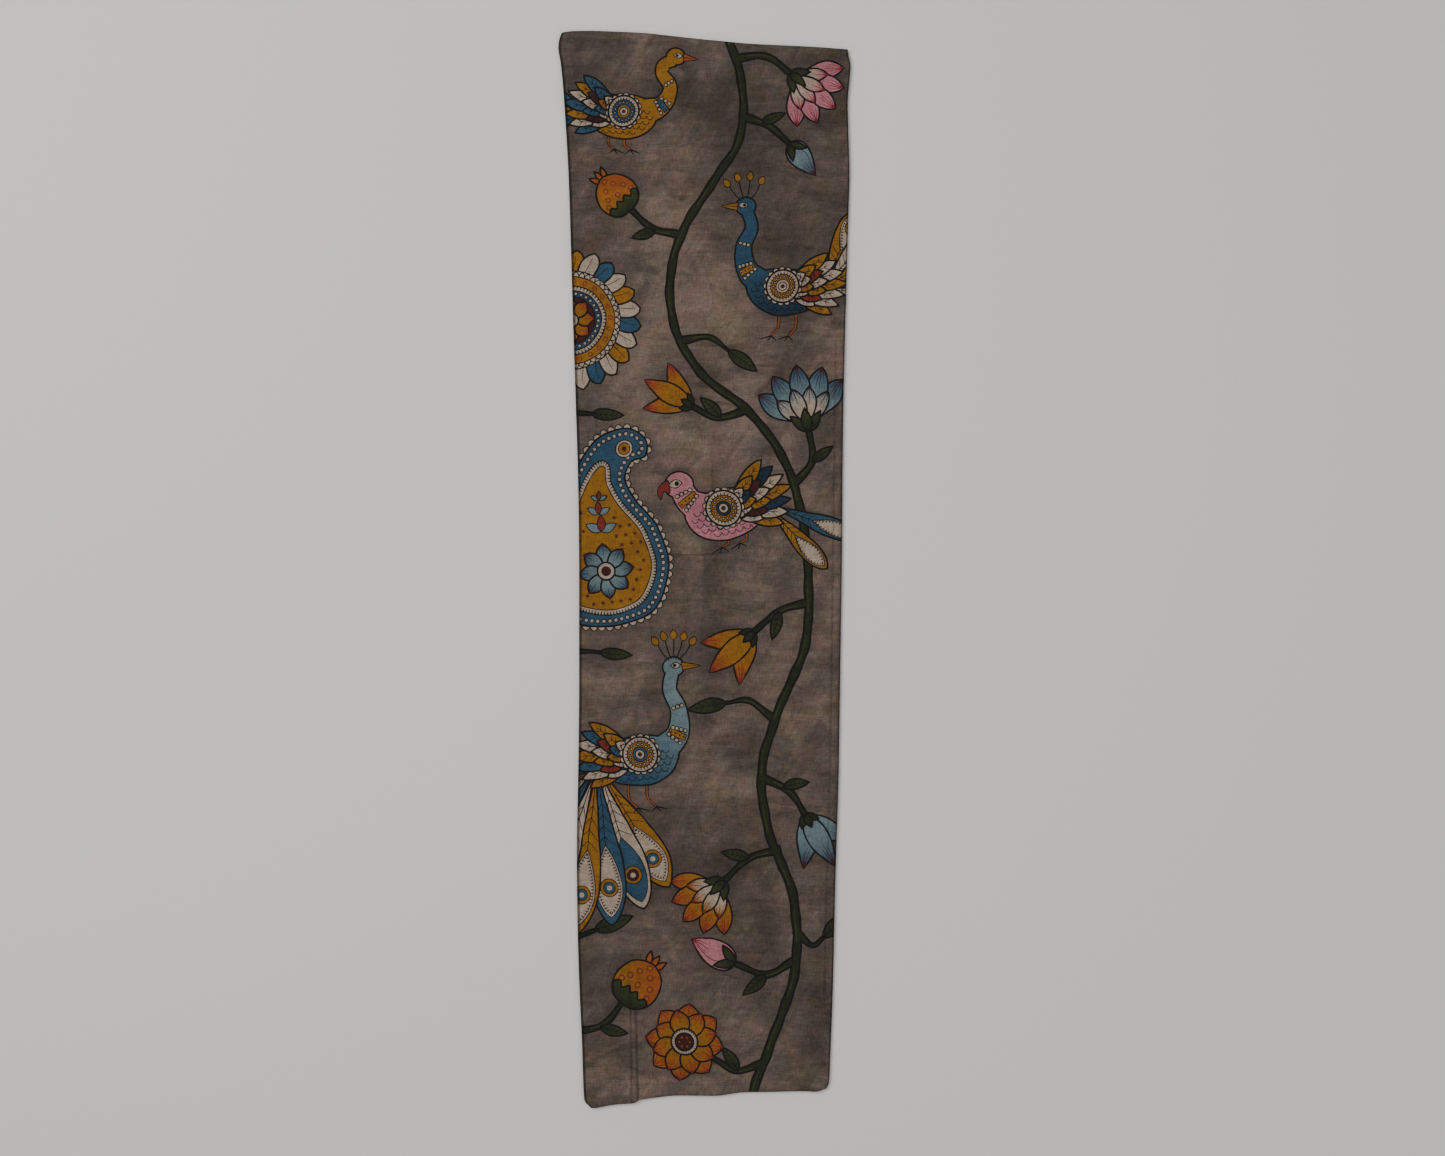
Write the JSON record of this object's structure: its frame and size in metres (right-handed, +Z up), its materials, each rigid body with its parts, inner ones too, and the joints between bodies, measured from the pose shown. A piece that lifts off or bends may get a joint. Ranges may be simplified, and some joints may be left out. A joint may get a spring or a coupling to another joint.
{
  "type": "kalamkari panel",
  "caption": "Hand-painted cotton cloth folded lengthwise into a long narrow strip that lies flat, with slanting, slightly wavy ends.",
  "frame": {"origin": "on the surface the cloth lies on, under the middle of its bounding box", "axes": "+Y along the strip to its head end, +X across it to the right as the picture shows it, +Z up"},
  "size_m": [0.3114, 1.1558, 0.0068],
  "materials": {
    "painted_cotton": "matte plain-weave cotton with a cloudy grey-brown wash, dark green vines, and blossoms, fruits, leaves and birds in mustard, blue, pink, red and cream with black pen outlines"
  },
  "bodies": {
    "root": {"kalamkari_panel": "painted_cotton"}
  },
  "joints": []
}
